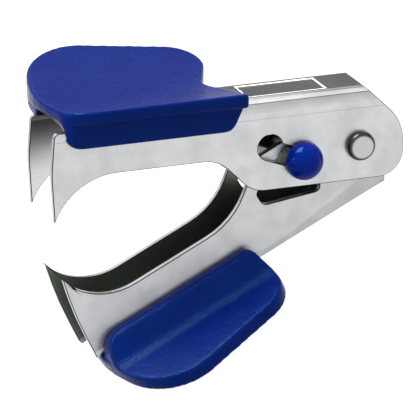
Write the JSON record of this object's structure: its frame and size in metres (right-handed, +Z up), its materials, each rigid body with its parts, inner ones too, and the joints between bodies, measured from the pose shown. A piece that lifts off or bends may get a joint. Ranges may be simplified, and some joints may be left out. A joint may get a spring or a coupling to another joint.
{
  "type": "staple remover",
  "caption": "Claw staple remover: two steel channel jaws on a spring-loaded rivet, blue winged finger grips and a sliding lock knob.",
  "frame": {"origin": "Under the middle of the part's box, on the plane that the lower grip's wing stands on.", "axes": "+X runs along the level lower jaw from the claws to the pivot end, +Y along the pivot axis to the upper grip's wing, +Z up."},
  "size_m": [0.0586, 0.0358, 0.045],
  "materials": {
    "jaw_steel": "satin nickel-plated sheet steel",
    "grip_plastic": "fine-grained royal blue moulding",
    "rivet_steel": "polished nickel-plated steel",
    "spring_wire": "drawn spring wire",
    "pin_steel": "ground steel",
    "knob_plastic": "glossy blue moulding"
  },
  "bodies": {
    "lower": {"lower_jaw": "jaw_steel", "lower_grip": "grip_plastic", "return_spring": "spring_wire"},
    "upper": {"upper_jaw": "jaw_steel", "upper_grip": "grip_plastic", "pivot_rivet": "rivet_steel"},
    "lock": {"lock_pin": "pin_steel", "lock_knob_left": "knob_plastic", "lock_knob_right": "knob_plastic"}
  },
  "joints": [
    {"name": "jaw_hinge", "type": "hinge", "parent": "lower", "child": "upper", "pos_m": [0.02202, 0, 0.01329], "axis": [0, -1, 0], "range_deg": [0, 24], "stiffness_Nm_per_rad": 0.2, "springref_deg": -8.59, "deforming": ["return_spring"]},
    {"name": "lock_slide", "type": "slide", "parent": "upper", "child": "lock", "axis": [-0.6807, 0, 0.7325], "range_m": [0, 0.0018]}
  ]
}
